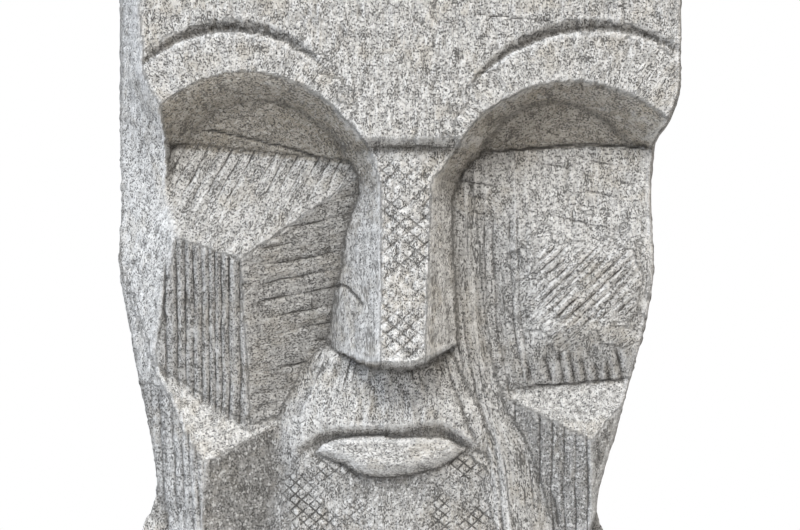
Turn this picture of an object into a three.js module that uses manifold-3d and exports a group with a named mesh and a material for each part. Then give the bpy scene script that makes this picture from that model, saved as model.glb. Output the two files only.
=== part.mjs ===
// A carved granite head of the long-faced island kind: a bust on its own flat foot, cut from one block.
//
// The face looks along -Y. It is a relief: at each place (x, z) the stone stands a rise in front of the
// face plane, and flat facets and rounded forms are blended together to give that rise. Plain sides and
// a plain back close the block behind the face. Millimetres, +Z up, origin in the middle of the foot.
import * as THREE from "three";
import { mergeVertices } from "three/addons/utils/BufferGeometryUtils.js";
import Module from "manifold-3d";

// ---- the block
const HEIGHT = 1290;
const FACE_PLANE = 282; // how far the face plane lies in front of the origin
const BACK = 360; // how far the back lies behind it
const CORNER_RISE = -85; // where the face meets the sides, behind the face plane
const SIDE_SQUARENESS = 3.5; // superellipse power of the sides and back
const TAPER = 0.13; // share of its width that the block loses from the face to the back
const TOP_ROUND = 110; // radius of the rounded top edge
const CROWN = 14; // how far the middle of the top stands above the end of that round

// Half widths by height, viewer's left and right. The right brow overhangs the cheek below it.
const LEFT_EDGE = through([
  [0, 425], [60, 424], [160, 404], [240, 388], [304, 368], [360, 374],
  [480, 398], [560, 412], [645, 425], [735, 421], [815, 423], [HEIGHT, 425],
]);
const RIGHT_EDGE = through([
  [0, 425], [60, 420], [160, 360], [268, 298], [390, 328], [492, 356], [560, 374],
  [640, 384], [735, 380], [815, 383], [857, 409], [915, 425], [HEIGHT, 425],
]);
// The sides behind the face are plainer, and the face's edges ease into them.
const LEFT_FLANK = through([[0, 425], [60, 424], [180, 392], [320, 366], [640, 408], [HEIGHT, 425]]);
const RIGHT_FLANK = through([
  [0, 425], [60, 418], [160, 352], [268, 304], [390, 334], [640, 394], [860, 420], [HEIGHT, 425],
]);
const FLANK_EASE = 0.45; // share of the depth that this takes

// ---- brow, eyes and nose
const BROW_RISE = 42;
const BROW_START = 830; // above it the forehead leans back
const FOREHEAD_LEAN = 0.1;
const LEDGE = { height: 825, slope: 1.4 }; // the small step between the brows, above the nose
const NOSE = {
  middle: 5,
  rise: 22,
  top: 810,
  slope: 0.184,
  roundness: 0.0015,
  tip: 493,
  tipMiddle: -13.5,
  tipRise: 80,
  tipSlope: 9,
  flatHalf: 35.5,
};
const LEFT_SOCKET = {
  brow: { at: [-230, 760], half: [189, 168], fall: 178 },
  wall: { at: [-212, 775], half: [130, 108], fall: 118 },
};
const RIGHT_SOCKET = {
  brow: { at: [258, 740], half: [204, 173], fall: 185 },
  wall: { at: [232, 770], half: [120, 112], fall: 116 },
};
// Below the brows each socket becomes a leg beside the nose. This moves the legs towards the nose.
const LEFT_LEG = through([[480, 11], [746, 13], [779, 9], [813, 6], [860, 0]]);
const RIGHT_LEG = through([[460, 17], [600, 12], [740, 8], [763, 7], [813, -7], [860, 0]]);
const FLANK_SLOPE = { left: 1.47, right: 2.07 }; // of the nose's flanks
const SOCKET_ROUND = 1.85; // superellipse power of the brow arches
const SOCKET_END = { at: [-369, 868], lean: 0.375 }; // the left socket's blunt outer end
// The flat walls where the eyes would be, each through a point [x, z, rise] with its slopes.
const LEFT_WALL = { at: [-230, 815, -35], slope: [0.041, 0.45] };
const RIGHT_WALL = { at: [250, 815, -51], slope: [-0.03, 0.45] };

// ---- cheeks and jaw: facets, each through a point [x, z, rise] with its slopes along x and z
const LEFT_CHEEK = { apex: [-238.5, 645, 30], slopes: [[-0.05, -0.42], [0.17, 0.24], [-0.497, 0.202]] };
const LEFT_JAW = { apex: [-292.5, 342, 10], slopes: [[-0.25, -0.42], [0.5, 0.15], [-0.56, 0.2]] };
const RIGHT_JAW = { apex: [285, 375, 18], slopes: [[0.06, -0.38], [0.35, 0.2], [-0.62, 0.2]] };
const RIGHT_CHEEK = [
  { at: [300, 640, 16], slope: [0, -0.37], blend: 12 },
  { at: [300, 640, 16], slope: [-0.02, -0.06], blend: 12 },
  { at: [300, 532, 20], slope: [-0.02, 0.46], blend: 8 },
  { at: [205, 600, 14], slope: [0.5, 0], blend: 14 },
  { at: [335, 600, 16], slope: [-0.3, 0], blend: 6 },
];
const FOLD_PATH = through([[240, 166], [340, 157], [430, 130], [585, 105], [735, 100]]);
const FOLD_RISE = through([[240, -6], [340, -3], [430, -8], [585, -20], [735, -30], [800, -60]]);
const FOLD_FALL = 0.35; // slope either side of the fold that runs down beside the nose

// ---- muzzle and mouth
const MUZZLE = {
  middle: -5,
  profile: through([
    [120, 22], [180, 20], [240, 12], [300, 4], [340, 6], [400, 14], [450, 0], [490, -12], [540, -60],
  ]),
  bulge: 0.0011,
  left: through([[240, -155], [352, -160], [430, -140], [514, -104]]),
  right: through([[240, 150], [352, 138], [430, 104], [496, 80]]),
  sideFall: 0.62,
};
const MOUTH = { middle: -8, half: 140, depth: 17, reach: 125, undercut: 11 };
const LIP_EDGE = through([
  [-150, 366], [-125, 385], [-75, 396], [-8, 396], [14, 398],
  [33, 403], [60, 402], [84, 388], [117, 366], [145, 342],
]);
const LIP_TOP = through([
  [-125, 356], [-108, 371], [-79, 377], [-33, 380], [-4, 375.5], [33, 378.5], [58, 378], [96, 360],
]);
const LIP_BOTTOM = through([
  [-125, 350], [-92, 341], [-54, 326], [-25, 323.5], [12, 326], [58, 335], [96, 357],
]);
const LOWER_LIP = { middle: -14, half: 114, rise: 18, lean: 0.27, endFall: 9, round: 12 };

// ---- edges, underside of the jaw and the foot
const TEMPLE_RISE = through([
  [304, 30], [480, 6], [645, 6], [760, -6], [860, 4], [930, 18], [1035, 20], [HEIGHT, 10],
]);
// The chamfer down the left side starts this far from the middle.
const TEMPLE_LINE = through([[304, 352], [800, 350], [868, 368], [940, 384], [HEIGHT, 386]]);
// Beside the left eye the corner stands on as a small form of its own, down to the cheek.
const TEMPLE = { at: -353, rise: 12, slope: 5, from: 640, to: 850 };
const PLAIN_CHAMFER = 1.4; // slope of the left chamfer below the temple
const RIGHT_CORNER = 16; // slope of the sharp right edge
const JAW_LEFT = through([[0, 330], [240, 352], [304, 368]]);
const JAW_RIGHT = through([[0, 250], [240, 290], [268, 298]]);
const JAW_BOTTOM = { height: 120, lift: 0.0009, rise: 30, slope: 2.2 };
const FOOT = { rise: -20, height: 50, slope: 0.8, chamfer: 1.3 };

// ---- the two eyebrow lines: arcs cut with a round gouge
const EYEBROWS = [
  { at: [-252, 807], radius: 187, from: 45, to: 136 },
  { at: [290, 756], radius: 239, from: 57, to: 137.5 },
];
const GOUGE = { radius: 9, bite: 5, corners: 7, steps: 16 };

// ---- how finely the surface is divided
const FACE_COLUMNS = 52;
const FLANK_COLUMNS = 16;
const CENTRE_CROWDING = 0.25; // 0 spaces the face's columns evenly; more crowds them to the nose and mouth
// each band of rows: from, to, how many
const ROW_BANDS = [[0, 60, 2], [60, 240, 8], [240, 960, 45], [960, 1166, 3], [1166, 1276, 5]];
const CAP_RINGS = [0.75, 0.4];

// A smooth curve through [t, value] points, which never overshoots them; flat beyond both ends.
function through(points) {
  const chord = points.slice(1).map(([t, v], i) => (v - points[i][1]) / (t - points[i][0]));
  const tangent = points.map((_, i) => {
    const before = chord[Math.max(i - 1, 0)];
    const after = chord[Math.min(i, chord.length - 1)];
    return before * after <= 0 ? 0 : (2 * before * after) / (before + after);
  });
  const last = points.length - 1;
  return (t) => {
    if (t <= points[0][0]) return points[0][1];
    if (t >= points[last][0]) return points[last][1];
    const i = points.findIndex(([end]) => end > t) - 1;
    const span = points[i + 1][0] - points[i][0];
    const u = (t - points[i][0]) / span;
    const rise = points[i + 1][1] - points[i][1];
    const ease = u * u * (3 - 2 * u);
    const bend = u * (1 - u) * ((1 - u) * tangent[i] - u * tangent[i + 1]) * span;
    return points[i][1] + rise * ease + bend;
  };
}

const { abs, cos, sin, hypot, sqrt, PI } = Math;
const clamp = THREE.MathUtils.clamp;
const smoothstep = THREE.MathUtils.smoothstep;

// The smaller and the larger of two surfaces, with a fillet about `blend` high where they cross.
function lower(a, b, blend) {
  const near = Math.max(1 - abs(a - b) / blend, 0);
  return Math.min(a, b) - (near * near * blend) / 4;
}
const higher = (a, b, blend) => -lower(-a, -b, blend);

const facet = (x, z, at, slope) => at[2] + slope[0] * (x - at[0]) + slope[1] * (z - at[1]);

// Facets that meet in one apex.
const pyramid = (x, z, { apex, slopes }) =>
  slopes.map((slope) => facet(x, z, apex, slope)).reduce((a, b) => lower(a, b, 3));

// How far inside an arch a place lies: 0 on its line, growing inwards; its legs run straight down.
function insideArch(x, z, { at, half, fall }) {
  const across = abs((x - at[0]) / half[0]) ** SOCKET_ROUND;
  const up = ((Math.max(z, at[1]) - at[1]) / half[1]) ** SOCKET_ROUND;
  return (1 - (across + up) ** (1 / SOCKET_ROUND)) * fall;
}

// How far into a socket a place lies: its share is 0 at the brow's arch and 1 where the wall begins.
function intoSocket(x, z, { brow, wall }) {
  const inside = insideArch(x, z, brow);
  if (inside <= 0) return { share: 0, inside: 0 };
  const short = -insideArch(x, z, wall);
  return { share: short > 0 ? inside / Math.max(inside + short, 12) : 1, inside };
}

// The forehead leans back above the brows. Below them the nose's flat front comes down to its upturned
// end; the sockets slope in to flat walls, and lower down they become the steep flanks of the nose.
function browAndNose(x, z) {
  const brow = BROW_RISE - FOREHEAD_LEAN * Math.max(z - BROW_START, 0) - 0.00012 * x * x;
  let front = brow;
  if (z <= LEDGE.height) {
    const drop = LEDGE.height - z;
    const nose = NOSE.rise + (NOSE.top - z) * NOSE.slope - NOSE.roundness * (x - NOSE.middle) ** 2;
    front = higher(brow - LEDGE.slope * drop, nose, 4) - 5 * drop * smoothstep(abs(x), 150, 260);
  }
  const tip = NOSE.tip + 0.42 * Math.max(abs(x - NOSE.tipMiddle) - NOSE.flatHalf, 0);
  front = lower(front, NOSE.tipRise + NOSE.tipSlope * (z - tip), 4);
  const left = intoSocket(x - LEFT_LEG(z), z, LEFT_SOCKET);
  const right = intoSocket(x + RIGHT_LEG(z), z, RIGHT_SOCKET);
  const [endX, endZ] = SOCKET_END.at;
  const end = smoothstep(x - endX - SOCKET_END.lean * (endZ - z), -2, 9);
  const share = Math.max(left.share * end, right.share);
  const { at, slope } = x < 0 ? LEFT_WALL : RIGHT_WALL;
  const underBrow = THREE.MathUtils.lerp(front, facet(x, z, at, slope), share);
  const flank = front - Math.max(FLANK_SLOPE.left * left.inside, FLANK_SLOPE.right * right.inside);
  return THREE.MathUtils.lerp(flank, underBrow, smoothstep(z, 690, 800));
}

function cheeksAndJaw(x, z) {
  const rightCheek = RIGHT_CHEEK.reduce(
    (rise, { at, slope, blend }) => lower(rise, facet(x, z, at, slope), blend),
    Infinity,
  );
  return [pyramid(x, z, LEFT_JAW), rightCheek, pyramid(x, z, RIGHT_JAW)].reduce(
    (a, b) => higher(a, b, 3),
    pyramid(x, z, LEFT_CHEEK),
  );
}

// The upper lip is the undercut edge of the muzzle; the lower lip stands in the hollow below it.
function muzzle(x, z) {
  const across = clamp(abs(x - MOUTH.middle) / MOUTH.half, 0, 1);
  const lipEdge = LIP_EDGE(x);
  const depth = MOUTH.depth * (1 - across ** 6);
  const reach = Math.max(MOUTH.reach * (1 - across * across), 6);
  const down = clamp((lipEdge - z) / reach, 0, 1);
  const hollow = depth * clamp((lipEdge - z) / MOUTH.undercut, 0, 1) * (1 - smoothstep(down, 0.35, 1));
  let rise = MUZZLE.profile(z) - hollow;
  const along = abs(x - LOWER_LIP.middle) / LOWER_LIP.half;
  if (along < 1) {
    const bottom = LIP_BOTTOM(x) + 10;
    rise -= 6 * Math.exp(-(((z - bottom + 30) / 13) ** 2)) * (1 - along ** 2);
    const edge = clamp((z - bottom) / LOWER_LIP.round, -1, 1);
    const lean = LOWER_LIP.lean * Math.max(z - bottom, -8) + 2 * Math.max(bottom - LOWER_LIP.round - z, 0);
    const lip = LOWER_LIP.rise - lean - LOWER_LIP.endFall * along ** 2;
    rise = higher(rise, Math.min(lip - 6 * (1 - edge) ** 2, lip + 3 * (LIP_TOP(x) - z)), 3);
  }
  const beyond = Math.max(MUZZLE.left(z) - x, x - MUZZLE.right(z), 0);
  return rise - MUZZLE.bulge * (x - MUZZLE.middle) ** 2 - MUZZLE.sideFall * beyond;
}

// The left chamfer: plain at the jaw, and ruled between the block's corner and the temple above it.
function leftChamfer(x, z) {
  const edge = z < 304 ? JAW_LEFT(z) : LEFT_EDGE(z);
  const plain = CORNER_RISE + PLAIN_CHAMFER * (x + edge);
  const share = (x + edge) / Math.max(edge - TEMPLE_LINE(z), 12);
  const ruled = CORNER_RISE + (TEMPLE_RISE(z) - CORNER_RISE) * share;
  return THREE.MathUtils.lerp(plain, ruled, smoothstep(z, 440, 520));
}

// How far the stone stands in front of the face plane at (x, z).
function relief(x, z) {
  const fold = FOLD_RISE(z) - FOLD_FALL * abs(x - FOLD_PATH(z));
  let rise = higher(higher(cheeksAndJaw(x, z), fold, 9), muzzle(x, z), 12);
  if (x < 0 && z > TEMPLE.from && z < TEMPLE.to) {
    rise = higher(rise, TEMPLE.rise - TEMPLE.slope * (x - TEMPLE.at), 3);
  }
  rise = higher(browAndNose(x, z), rise, 2.5);
  const rightEdge = z < 268 ? JAW_RIGHT(z) : RIGHT_EDGE(z);
  rise = lower(rise, leftChamfer(x, z), 4);
  rise = lower(rise, CORNER_RISE + RIGHT_CORNER * (rightEdge - x), 4);
  const jaw = JAW_BOTTOM.rise + JAW_BOTTOM.slope * (z - JAW_BOTTOM.height - JAW_BOTTOM.lift * x * x);
  rise = lower(rise, jaw, 6);
  let foot = FOOT.rise - FOOT.slope * Math.max(z - FOOT.height, 0);
  foot = lower(foot, CORNER_RISE + FOOT.chamfer * (x + LEFT_EDGE(z)), 8);
  foot = lower(foot, CORNER_RISE + FOOT.chamfer * (RIGHT_EDGE(z) - x), 8);
  return Math.max(higher(rise, foot, 8), CORNER_RISE);
}

// How far the rounded top edge draws the outline in at height z.
function topInset(z) {
  const up = clamp(z - (HEIGHT - CROWN - TOP_ROUND), 0, TOP_ROUND);
  return TOP_ROUND - sqrt(TOP_ROUND ** 2 - up ** 2);
}

function facePoint(share, z) {
  const t = 2 * share - 1;
  const spread = (1 - CENTRE_CROWDING) * t + CENTRE_CROWDING * t ** 3;
  const middle = (RIGHT_EDGE(z) - LEFT_EDGE(z)) / 2;
  const half = (RIGHT_EDGE(z) + LEFT_EDGE(z)) / 2;
  const x = middle + half * spread;
  const inset = topInset(z);
  return new THREE.Vector3(x * (1 - inset / half), -(FACE_PLANE + relief(x, z) - inset), z);
}

// The sides and back: half a superellipse from the right front corner round to the left one.
function flankPoint(share, z) {
  const front = -(FACE_PLANE + CORNER_RISE);
  const angle = share * PI;
  const power = 2 / SIDE_SQUARENESS;
  const back = sin(angle) ** power;
  const plain = smoothstep(back, 0, FLANK_EASE);
  const right = THREE.MathUtils.lerp(RIGHT_EDGE(z), RIGHT_FLANK(z), plain);
  const left = THREE.MathUtils.lerp(LEFT_EDGE(z), LEFT_FLANK(z), plain);
  const half = (right + left) / 2;
  const middle = (right - left) / 2;
  const x = middle + half * Math.sign(cos(angle)) * abs(cos(angle)) ** power;
  const inset = topInset(z);
  const depth = BACK - front;
  const y = front + depth * back;
  return new THREE.Vector3(x * (1 - TAPER * back) * (1 - inset / half), y + inset * (1 - 2 * back), z);
}

function rowHeights() {
  const heights = ROW_BANDS.flatMap(([from, to, rows]) =>
    Array.from({ length: rows }, (_, i) => from + ((to - from) * i) / rows),
  );
  return [...heights, ROW_BANDS.at(-1)[1]];
}

// A point of the outline at height z. Columns count from the left front corner across the face, then
// from the right front corner round the back.
const outlinePoint = (column, z) =>
  column < FACE_COLUMNS
    ? facePoint(column / FACE_COLUMNS, z)
    : flankPoint((column - FACE_COLUMNS) / FLANK_COLUMNS, z);

// Rings of points from the foot to the top, joined into one closed surface.
function blockGeometry() {
  const columns = FACE_COLUMNS + FLANK_COLUMNS;
  const heights = rowHeights();
  const rings = heights.map((z) => Array.from({ length: columns }, (_, column) => outlinePoint(column, z)));
  const rim = rings.at(-1);
  for (const scale of CAP_RINGS) {
    rings.push(rim.map((p) => new THREE.Vector3(p.x * scale, p.y * scale, p.z + CROWN * (1 - scale ** 2))));
  }
  const points = [...rings.flat(), new THREE.Vector3(0, 0, 0), new THREE.Vector3(0, 0, rim[0].z + CROWN)];
  const foot = rings.length * columns;
  const top = foot + 1;
  const index = [];
  for (let column = 0; column < columns; column++) {
    const next = (column + 1) % columns;
    for (let row = 0; row < rings.length - 1; row++) {
      const corners = [row * columns + column, row * columns + next];
      corners.push(corners[1] + columns, corners[0] + columns);
      const onBlock = row < heights.length - 1;
      const middle = onBlock && outlinePoint(column + 0.5, (heights[row] + heights[row + 1]) / 2);
      index.push(...twoTriangles(points, corners, middle));
    }
    index.push(foot, next, column);
    index.push(top, foot - columns + column, foot - columns + next);
  }
  return new THREE.BufferGeometry().setFromPoints(points).setIndex(index);
}

// Two triangles for four corners, split along the diagonal that passes nearer to the true middle, so
// that the splits follow the ridges and creases.
function twoTriangles(points, [a, b, c, d], middle) {
  const miss = (from, to) => points[from].clone().lerp(points[to], 0.5).distanceTo(middle);
  return !middle || miss(a, c) <= miss(b, d) ? [a, b, c, a, c, d] : [a, b, d, b, c, d];
}

// A round bar along an eyebrow line, which sinks into the stone in the middle and leaves it at both ends.
function gougeGeometry({ at, radius, from, to }) {
  const path = Array.from({ length: GOUGE.steps + 1 }, (_, i) => {
    const share = i / GOUGE.steps;
    const angle = THREE.MathUtils.degToRad(from + (to - from) * share);
    const x = at[0] + radius * cos(angle);
    const z = at[1] + radius * sin(angle);
    const clear = GOUGE.radius - GOUGE.bite * sqrt(sin(PI * share));
    return new THREE.Vector3(x, -(FACE_PLANE + relief(x, z) + clear), z);
  });
  const section = new THREE.Shape().absarc(0, 0, GOUGE.radius, 0, 2 * PI);
  return new THREE.ExtrudeGeometry(section, {
    extrudePath: new THREE.CatmullRomCurve3(path),
    steps: GOUGE.steps,
    curveSegments: GOUGE.corners,
    bevelEnabled: false,
  });
}

const wasm = await Module();
wasm.setup();

function toSolid(geometry) {
  geometry.deleteAttribute("normal");
  geometry.deleteAttribute("uv");
  const merged = mergeVertices(geometry, 1e-3);
  const vertProperties = merged.attributes.position.array;
  const triVerts = new Uint32Array(merged.index.array);
  return new wasm.Manifold(new wasm.Mesh({ numProp: 3, vertProperties, triVerts }));
}

function toGeometry(solid) {
  const { vertProperties, triVerts } = solid.getMesh();
  const geometry = new THREE.BufferGeometry();
  geometry.setAttribute("position", new THREE.BufferAttribute(vertProperties, 3));
  geometry.setIndex(new THREE.BufferAttribute(triVerts, 1));
  geometry.computeVertexNormals();
  return geometry;
}

const carved = EYEBROWS.reduce(
  (block, eyebrow) => block.subtract(toSolid(gougeGeometry(eyebrow))),
  toSolid(blockGeometry()),
);
const granite = new THREE.MeshStandardMaterial({ color: 0xb2b0ab, roughness: 0.92, metalness: 0 });
const head = new THREE.Mesh(toGeometry(carved), granite);
head.name = "moai_head";

const bust = new THREE.Group();
bust.add(head);
export default bust;
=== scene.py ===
"""A carved granite head of the long-faced island kind, standing on its own flat foot.

One piece stands for the whole block. Its face is a relief: a rise in front of the face plane at each
place (x, z), blended from flat facets and rounded forms, and every tool mark is cut into that surface.
Sizes in the carving's own section are millimetres and become metres when the mesh is made.
"""

import math

import bpy
import numpy as np
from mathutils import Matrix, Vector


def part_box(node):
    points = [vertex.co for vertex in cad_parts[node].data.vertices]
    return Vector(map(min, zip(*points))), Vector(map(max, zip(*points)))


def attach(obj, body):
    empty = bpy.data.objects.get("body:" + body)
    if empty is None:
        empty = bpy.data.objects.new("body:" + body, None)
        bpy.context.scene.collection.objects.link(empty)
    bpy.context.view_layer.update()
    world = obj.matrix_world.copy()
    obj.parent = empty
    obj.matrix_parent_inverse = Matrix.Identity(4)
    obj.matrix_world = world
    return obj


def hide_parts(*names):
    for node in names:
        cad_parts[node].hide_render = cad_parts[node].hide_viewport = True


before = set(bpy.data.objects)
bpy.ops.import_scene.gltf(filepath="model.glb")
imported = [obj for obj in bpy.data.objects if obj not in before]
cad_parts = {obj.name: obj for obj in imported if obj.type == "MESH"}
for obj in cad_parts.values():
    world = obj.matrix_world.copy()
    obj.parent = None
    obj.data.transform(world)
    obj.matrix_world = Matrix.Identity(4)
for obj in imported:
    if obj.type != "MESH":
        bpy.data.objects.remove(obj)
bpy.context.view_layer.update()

MM = 0.001
SEED = 11

# ---- the block, from the frame's own box
foot_low, foot_high = (np.array(corner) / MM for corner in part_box("moai_head"))
HEIGHT = foot_high[2] - foot_low[2]
BACK = foot_high[1]
NOSE_REACH = 79.7  # the end of the nose stands this far in front of the face plane
FACE_PLANE = -foot_low[1] - NOSE_REACH
CORNER_RISE = -85.0  # the block's front corners against the face plane
SIDE_SQUARENESS = 3.5  # power of the superellipse round the sides and back
TAPER = 0.13  # how far the sides draw in towards the back
TOP_ROUND = 110.0  # radius of the top edge
CROWN = 14.0  # how far the top swells above that edge
FLANK_EASE = 0.45  # share of the depth over which the front's outline gives way to the flank's


# ---------------------------------------------------------------- curves and blends


def through(points):
    """A smooth curve through (t, value) points that never overshoots them, flat beyond both ends.
    Each span is a cubic; a point's tangent is the harmonic mean of the chords beside it."""
    t_at, value = np.array(points, float).T
    chord = np.diff(value) / np.diff(t_at)
    before = np.concatenate([chord[:1], chord])
    after = np.concatenate([chord, chord[-1:]])
    same_way = before * after > 0
    both = np.where(same_way, before + after, 1.0)
    tangent = np.where(same_way, 2 * before * after / both, 0.0)

    def at(t):
        t = np.clip(t, t_at[0], t_at[-1])
        i = np.clip(np.searchsorted(t_at, t, side="right") - 1, 0, len(chord) - 1)
        span = t_at[i + 1] - t_at[i]
        u = (t - t_at[i]) / span
        ease = u * u * (3 - 2 * u)
        bend = u * (1 - u) * ((1 - u) * tangent[i] - u * tangent[i + 1]) * span
        return value[i] + (value[i + 1] - value[i]) * ease + bend

    return at


def smoothstep(t, low, high):
    """0 below low, 1 above high, eased between."""
    u = np.clip((t - low) / (high - low), 0, 1)
    return u * u * (3 - 2 * u)


def lower(a, b, blend):
    """The smaller of two surfaces, with a fillet about blend high where they cross."""
    near = np.clip(1 - np.abs(a - b) / blend, 0, None)
    return np.minimum(a, b) - near * near * blend / 4


def higher(a, b, blend):
    """The larger of two surfaces, filleted the same way."""
    return -lower(-a, -b, blend)


def facet(x, z, at, slope):
    """A plane through the point at = (x, z, rise) with slopes along x and z."""
    return at[2] + slope[0] * (x - at[0]) + slope[1] * (z - at[1])


def within(t, low, high, soft):
    """1 between low and high, falling to 0 over soft outside each."""
    return smoothstep(t, low - soft, low) * (1 - smoothstep(t, high, high + soft))


LATTICE = np.random.default_rng(SEED).uniform(-1, 1, (16, 256, 256))


def noise(u, v, layer):
    """Smooth value noise from -1 to 1: random values on a lattice of step 1, eased between."""
    grid = LATTICE[layer]
    iu = np.floor(u).astype(int)
    iv = np.floor(v).astype(int)
    fu = u - iu
    fv = v - iv
    fu = fu * fu * (3 - 2 * fu)
    fv = fv * fv * (3 - 2 * fv)
    near_row = grid[iu & 255, iv & 255] * (1 - fu) + grid[(iu + 1) & 255, iv & 255] * fu
    far_row = grid[iu & 255, (iv + 1) & 255] * (1 - fu) + grid[(iu + 1) & 255, (iv + 1) & 255] * fu
    return near_row * (1 - fv) + far_row * fv


# ---------------------------------------------------------------- the head's form

# outlines by height: the front corners, the flanks behind them, the temple's line and the jaw's corners
LEFT_EDGE = through(
    [
        (0, 425), (60, 424), (160, 404), (240, 388), (304, 368), (360, 374),
        (480, 398), (560, 412), (645, 425), (735, 421), (815, 423), (1290, 425),
    ]
)
RIGHT_EDGE = through(
    [
        (0, 425), (60, 420), (160, 360), (268, 298), (390, 328), (492, 356), (560, 374),
        (640, 384), (735, 380), (815, 383), (857, 409), (915, 425), (1290, 425),
    ]
)
LEFT_FLANK = through([(0, 425), (60, 424), (180, 392), (320, 366), (640, 408), (1290, 425)])
RIGHT_FLANK = through(
    [(0, 425), (60, 418), (160, 352), (268, 304), (390, 334), (640, 394), (860, 420), (1290, 425)]
)
TEMPLE_RISE = through(
    [(304, 30), (480, 6), (645, 6), (760, -6), (860, 4), (930, 18), (1035, 20), (1290, 10)]
)
TEMPLE_LINE = through([(304, 352), (800, 350), (868, 368), (940, 384), (1290, 386)])
JAW_LEFT = through([(0, 330), (240, 352), (304, 368)])
JAW_RIGHT = through([(0, 250), (240, 290), (268, 298)])
JAW_CORNER_TOP = (304, 268)  # below these heights the left and right corners follow the jaw
# the crease of stone between nose and right cheek, and the rounded form that carries the mouth
FOLD_PATH = through([(240, 166), (340, 157), (430, 130), (585, 105), (735, 100)])
FOLD_RISE = through([(240, -6), (340, -3), (430, -8), (585, -20), (735, -30), (800, -60)])
MUZZLE_RISE = through(
    [(120, 22), (180, 20), (240, 12), (300, 4), (340, 6), (400, 14), (450, 0), (490, -12), (540, -60)]
)
MUZZLE_LEFT = through([(240, -155), (352, -160), (430, -140), (514, -104)])
MUZZLE_RIGHT = through([(240, 150), (352, 138), (430, 104), (496, 80)])

# the mouth by place across: the upper lip's undercut edge, and the lower lip's two edges
LIP_EDGE = through(
    [
        (-150, 366), (-125, 385), (-75, 396), (-8, 396), (14, 398),
        (33, 403), (60, 402), (84, 388), (117, 366), (145, 342),
    ]
)
LIP_TOP = through(
    [(-125, 356), (-108, 371), (-79, 377), (-33, 380), (-4, 375.5), (33, 378.5), (58, 378), (96, 360)]
)
LIP_BOTTOM = through([(-125, 350), (-92, 341), (-54, 326), (-25, 323.5), (12, 326), (58, 335), (96, 357)])

SOCKET_ROUND = 1.85  # superellipse power of the sockets' arches
# each arch: its centre, its half width and height, and the depth scale of its inside
LEFT_SOCKET = {"brow": ((-230, 760), (189, 168), 178), "wall": ((-212, 775), (130, 108), 118)}
RIGHT_SOCKET = {"brow": ((258, 740), (204, 173), 185), "wall": ((232, 770), (120, 112), 116)}
# the flat wall in each socket: a point (x, z, rise) and its slopes along x and z
LEFT_WALL = ((-230, 815, -35), (0.041, 0.45))
RIGHT_WALL = ((250, 815, -51), (-0.03, 0.45))
# how far each socket's leg stands to the viewer's right of (left) or left of (right) its own arch
LEFT_LEG = through([(480, 11), (746, 13), (779, 9), (813, 6), (860, 0)])
RIGHT_LEG = through([(460, 17), (600, 12), (740, 8), (763, 7), (813, -7), (860, 0)])
SOCKET_END = ((-369, 868), 0.375)  # the left socket's blunt outer end leans in below this point

# facets that meet in one apex: the apex (x, z, rise) and each facet's slopes along x and z
LEFT_CHEEK = ((-238.5, 645, 30), ((-0.05, -0.42), (0.17, 0.24), (-0.497, 0.202)))
LEFT_JAW = ((-292.5, 342, 10), ((-0.25, -0.42), (0.5, 0.15), (-0.56, 0.2)))
RIGHT_JAW = ((285, 375, 18), ((0.06, -0.38), (0.35, 0.2), (-0.62, 0.2)))
# planes of the flatter right cheek: a point, the slopes, and the fillet against the planes before it
RIGHT_CHEEK = (
    ((300, 640, 16), (0.0, -0.37), 12),
    ((300, 640, 16), (-0.02, -0.06), 12),
    ((300, 532, 20), (-0.02, 0.46), 8),
    ((205, 600, 14), (0.5, 0.0), 14),
    ((335, 600, 16), (-0.3, 0.0), 6),
)
LEFT_TEMPLE = ((-353, 0, 12), (-5, 0))  # left of the eye the corner stands on, down to the cheek
LEFT_TEMPLE_SPAN = (640, 850)
# single cracks and creases: the way, half width, strength and the length of their tapering ends
CRACKS = (
    (((-313, 843), (-235, 829), (-102, 795)), 3.8, 0.9, 30),
    (((120, 807), (210, 814), (285, 819), (382, 814)), 3.8, 0.9, 30),
    (((-40, 812), (20, 813), (86, 811)), 3.8, 0.75, 12),
    (((-104, 603), (-90, 608), (-74, 601), (-61, 587), (-55, 572)), 5.0, 0.9, 8),
    (((175, 455), (260, 459), (345, 468)), 3.8, 0.85, 20),
    (((226, 300), (234, 262), (240, 238)), 4.5, 0.9, 12),
    (((-104, 512), (-145, 432), (-166, 388)), 7.0, 0.55, 30),
    (((66, 500), (80, 462), (104, 392), (128, 350)), 8.0, 0.7, 30),
    (((90, 1014), (160, 1007), (250, 998)), 3.2, 0.7, 30),
    (((98, 977), (190, 976)), 3.2, 0.6, 30),
    (((285, 1030), (350, 1018), (410, 1000)), 3.2, 0.6, 20),
)
# the eyebrow lines as arcs: centre, radius, and the angles where they start and end
EYEBROWS = (((-252, 807), 187, 41, 139), ((290, 756), 239, 51, 141))
EYEBROW_HALF = 10.0  # half the cut's width at its middle
EYEBROW_LIP = 0.3  # share of that half taken by the crisp lower edge
EYEBROW_DEPTH = 1.35  # depth for each millimetre of half width

# the forehead: rise, height from which it leans back, that slope, and its curve across
BROW_RISE, BROW_KNEE, BROW_LEAN, BROW_CURVE = 42, 830, 0.10, 0.00012
# the nose: rise and height of its root, slope of its bridge, its middle and its curve across
ROOT_RISE, ROOT_Z, BRIDGE_LEAN, NOSE_MIDDLE, NOSE_CURVE = 22, 810, 0.184, 5, 0.0015
# the step over the nose: height, slope, and how much it steepens beyond the nose
STEP_Z, STEP_SLOPE, STEP_FALL, BESIDE_NOSE = 825, 1.4, 5, (150, 260)
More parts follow.
